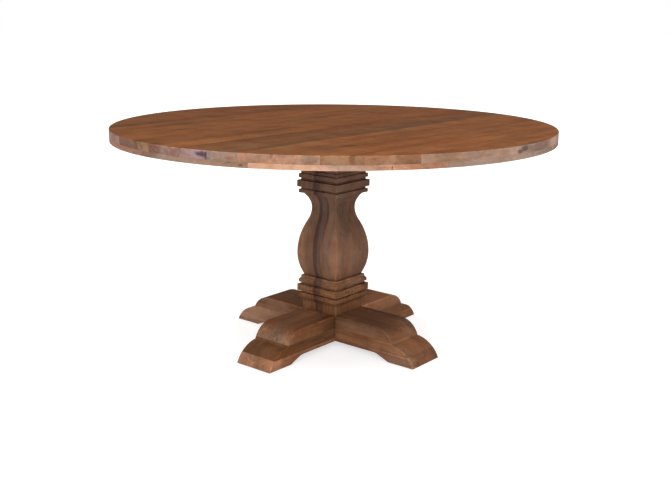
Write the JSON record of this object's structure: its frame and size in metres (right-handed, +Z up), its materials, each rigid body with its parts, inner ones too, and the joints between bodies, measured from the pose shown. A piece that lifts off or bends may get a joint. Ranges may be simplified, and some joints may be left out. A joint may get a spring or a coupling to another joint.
{
  "type": "round pedestal table",
  "caption": "Round solid-wood dining table with a plank top and built-up edge on a square baluster column and a cross of scroll feet.",
  "frame": {"origin": "on the floor, under the middle of the column", "axes": "+Z up; the feet point along -Y (front), +X (right), +Y (back) and -X (left), and the top boards run along Y"},
  "size_m": [1.5, 1.5, 0.77],
  "materials": {
    "top_wood": "satin",
    "lip_wood": "satin",
    "column_wood": "satin",
    "base_wood": "satin",
    "hidden_wood": "matte",
    "dowel_wood": "matte",
    "zinc_steel": "satin",
    "felt": "matte"
  },
  "bodies": {
    "root": {"back_foot_top": "base_wood", "base_dowels": "dowel_wood", "batten_back": "hidden_wood", "batten_front": "hidden_wood", "batten_screws": "zinc_steel", "column_board_left_inner": "column_wood", "column_board_left_outer": "column_wood", "column_board_middle": "column_wood", "column_board_right_inner": "column_wood", "column_board_right_outer": "column_wood", "felt_pad_back": "felt", "felt_pad_front": "felt", "felt_pad_left": "felt", "felt_pad_right": "felt", "front_back_rail_bottom": "base_wood", "front_back_rail_middle": "base_wood", "front_foot_top": "base_wood", "left_foot_bottom": "base_wood", "left_foot_middle": "base_wood", "left_right_rail_top": "base_wood", "lip_segment_1": "lip_wood", "lip_segment_2": "lip_wood", "lip_segment_3": "lip_wood", "lip_segment_4": "lip_wood", "lip_segment_5": "lip_wood", "lip_segment_6": "lip_wood", "lip_segment_7": "lip_wood", "lip_segment_8": "lip_wood", "lip_segment_9": "lip_wood", "mounting_plate": "hidden_wood", "plate_dowels": "dowel_wood", "plate_screws": "zinc_steel", "right_foot_bottom": "base_wood", "right_foot_middle": "base_wood", "tie_rod": "zinc_steel", "tie_rod_nuts": "zinc_steel", "tie_rod_washers": "zinc_steel", "top_board_01": "top_wood", "top_board_02": "top_wood", "top_board_03": "top_wood", "top_board_04": "top_wood", "top_board_05": "top_wood", "top_board_06": "top_wood", "top_board_07": "top_wood", "top_board_08": "top_wood", "top_board_09": "top_wood", "top_board_10": "top_wood", "top_board_11": "top_wood", "top_board_12": "top_wood", "top_board_13": "top_wood", "top_board_14": "top_wood", "top_board_15": "top_wood"}
  },
  "joints": []
}
